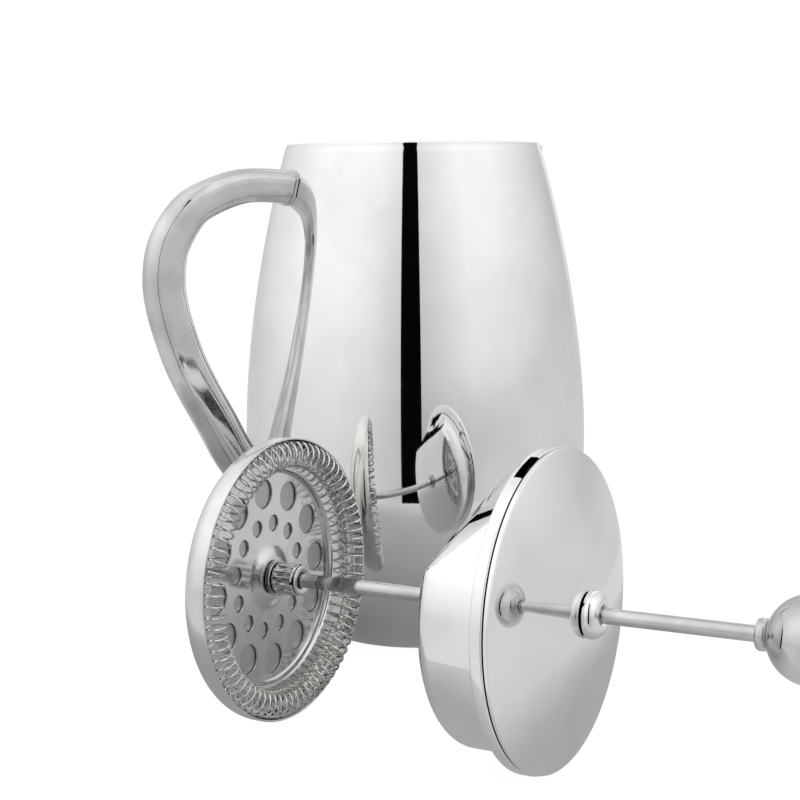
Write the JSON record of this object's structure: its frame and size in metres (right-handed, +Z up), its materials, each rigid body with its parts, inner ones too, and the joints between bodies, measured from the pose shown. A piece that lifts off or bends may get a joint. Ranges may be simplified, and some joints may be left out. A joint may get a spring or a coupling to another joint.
{
  "type": "french press",
  "caption": "Double-walled barrel french press with a D-bar handle, its domed lid, rod, ball knob and coil-edged filter laid beside it.",
  "frame": {"origin": "centre of the pot's flat base, on the table", "axes": "+Z up, +X towards the spout, -X towards the handle; the laid-down rod points 59.8 degrees clockwise from +X seen from above"},
  "size_m": [0.2104, 0.3177, 0.2001],
  "materials": {
    "polished_steel": "mirror-polished stainless steel",
    "brushed_liner": "satin stainless steel",
    "pressed_steel": "bright pressed stainless sheet",
    "turned_steel": "turned stainless steel",
    "spring_wire": "bright drawn stainless wire",
    "woven_mesh": "fine woven stainless mesh",
    "seal_rubber": "matte black rubber"
  },
  "bodies": {
    "pot": {"outer_shell": "polished_steel", "inner_liner": "brushed_liner", "base_plate": "polished_steel", "spout_beak": "polished_steel", "spout_throat": "polished_steel", "handle": "polished_steel", "handle_upper_saddle": "polished_steel", "handle_lower_saddle": "polished_steel"},
    "lid": {"lid_flange": "polished_steel", "lid_cap": "polished_steel", "lid_skirt": "polished_steel", "strainer_tab": "polished_steel", "guide_bush": "polished_steel", "bush_nut": "turned_steel", "lower_grommet": "turned_steel"},
    "rod_seal_ring": {"rod_seal": "seal_rubber"},
    "plunger": {"plunger_rod": "polished_steel", "knob": "polished_steel", "knob_insert": "turned_steel", "knob_collar": "polished_steel", "hub_ring": "turned_steel", "filter_hub": "polished_steel", "hub_washer": "polished_steel"},
    "filter_stack": {"spiral_plate": "pressed_steel", "spring_coil": "spring_wire", "mesh_screen": "woven_mesh"},
    "cross_plate_assembly": {"cross_plate": "pressed_steel", "cross_plate_boss": "turned_steel"}
  },
  "joints": [
    {"name": "lid_lift", "type": "slide", "parent": "pot", "child": "lid", "axis": [0, 0, 1], "range_m": [0, 0.25]},
    {"name": "rod_turn", "type": "hinge", "parent": "lid", "child": "rod_seal_ring", "pos_m": [-0.0935, -0.0801, 0.04927], "axis": [0.5029, -0.864, 0.0246], "continuous": true},
    {"name": "plunge", "type": "slide", "parent": "rod_seal_ring", "child": "plunger", "axis": [0.5029, -0.864, 0.0246], "range_m": [-0.048, 0.0676]},
    {"name": "stack_advance", "type": "slide", "parent": "plunger", "child": "filter_stack", "axis": [0.5029, -0.864, 0.0246], "range_m": [-0.005, 0]},
    {"name": "cross_plate_unscrew", "type": "hinge", "parent": "filter_stack", "child": "cross_plate_assembly", "pos_m": [-0.0935, -0.0801, 0.04927], "axis": [0.5029, -0.864, 0.0246], "range_deg": [-2250, 0]}
  ],
  "couplings": [
    {"joint": "stack_advance", "follows": "cross_plate_unscrew", "m_per_rad": 0.00012732}
  ]
}
